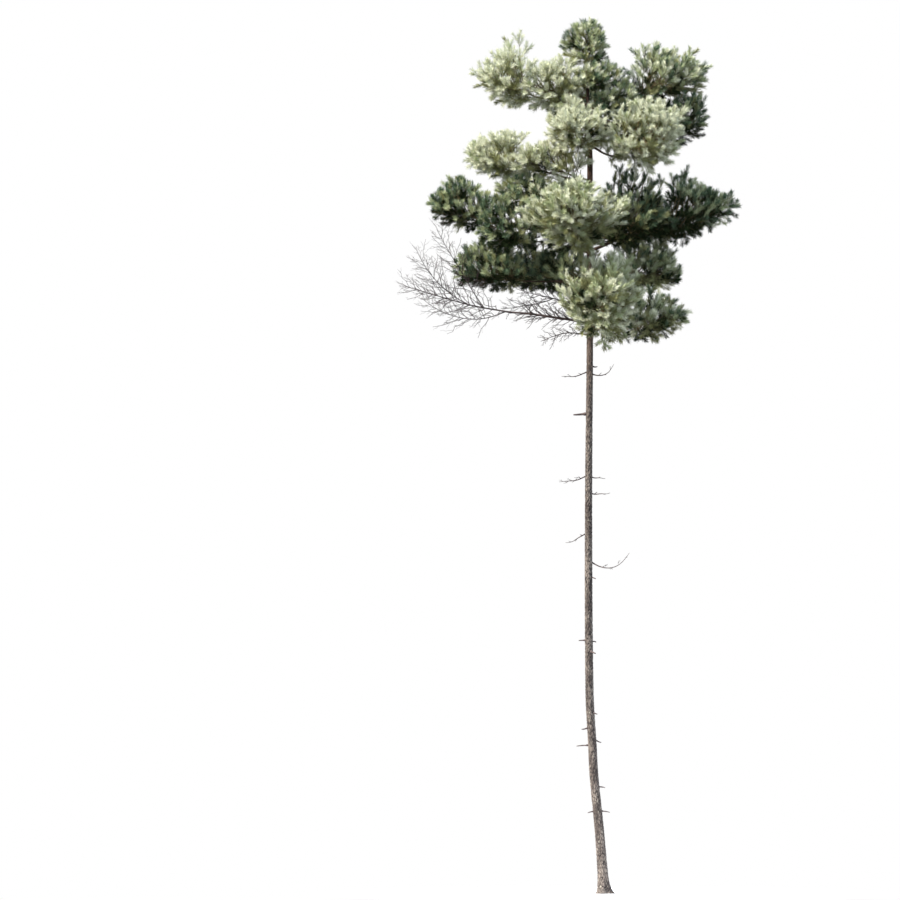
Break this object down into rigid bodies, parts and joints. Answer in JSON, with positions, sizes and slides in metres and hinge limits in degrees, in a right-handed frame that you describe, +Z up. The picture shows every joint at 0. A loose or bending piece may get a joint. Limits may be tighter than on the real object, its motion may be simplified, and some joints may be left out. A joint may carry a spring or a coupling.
{
  "type": "pine tree",
  "caption": "Tall, slim pine from a close stand: bare stem with dead snags, dead limbs under the crown, and a high open crown of dense needle pads on short boughs.",
  "frame": {"origin": "middle of the flat cut under the stem, at ground level", "axes": "+Z up along the stem, +X to the right and -Y towards the viewer in the picture's view"},
  "size_m": [7.0428, 5.2976, 17.9701],
  "materials": {
    "bark": "furrowed, plated bark, grey-brown, redder up in the crown",
    "limb": "rough living bark, dark red-brown",
    "dead_wood": "bare weathered dead wood, dark grey-brown",
    "needles": "matt sage and blue-green needles, yellower inside the crown"
  },
  "bodies": {
    "root": {"bough_back_left": "limb", "bough_back_low": "limb", "bough_back_low_left": "limb", "bough_back_right": "limb", "bough_back_upper_left": "limb", "bough_back_upper_right": "limb", "bough_front_ball": "limb", "bough_front_low": "limb", "bough_front_right": "limb", "bough_left_far": "limb", "bough_left_near": "limb", "bough_left_outer": "limb", "bough_left_under": "limb", "bough_lower_left_outer": "limb", "bough_lower_right": "limb", "bough_right_low": "limb", "bough_right_outer": "limb", "bough_upper_left_outer": "limb", "bough_upper_right_low": "limb", "bough_upper_right_top": "limb", "dead_bough": "dead_wood", "dead_limb_long": "dead_wood", "dead_limb_lower": "dead_wood", "dead_limb_upper": "dead_wood", "foliage_back_left": "needles", "foliage_back_low": "needles", "foliage_back_low_left": "needles", "foliage_back_right": "needles", "foliage_back_upper_left": "needles", "foliage_back_upper_right": "needles", "foliage_cap": "needles", "foliage_front_ball": "needles", "foliage_front_left": "needles", "foliage_front_low": "needles", "foliage_front_right": "needles", "foliage_leader": "needles", "foliage_left_far": "needles", "foliage_left_inner": "needles", "foliage_left_near": "needles", "foliage_left_outer": "needles", "foliage_left_under": "needles", "foliage_lower_left_inner": "needles", "foliage_lower_left_outer": "needles", "foliage_lower_right": "needles", "foliage_right_inner": "needles", "foliage_right_low": "needles", "foliage_right_outer": "needles", "foliage_upper_left_inner": "needles", "foliage_upper_left_outer": "needles", "foliage_upper_right_inner": "needles", "foliage_upper_right_low": "needles", "foliage_upper_right_top": "needles", "snag_left_1": "dead_wood", "snag_left_2": "dead_wood", "snag_left_3": "dead_wood", "snag_right_1": "dead_wood", "snag_right_2": "dead_wood", "snag_right_3": "dead_wood", "snag_right_4": "dead_wood", "stem": "bark"}
  },
  "joints": []
}
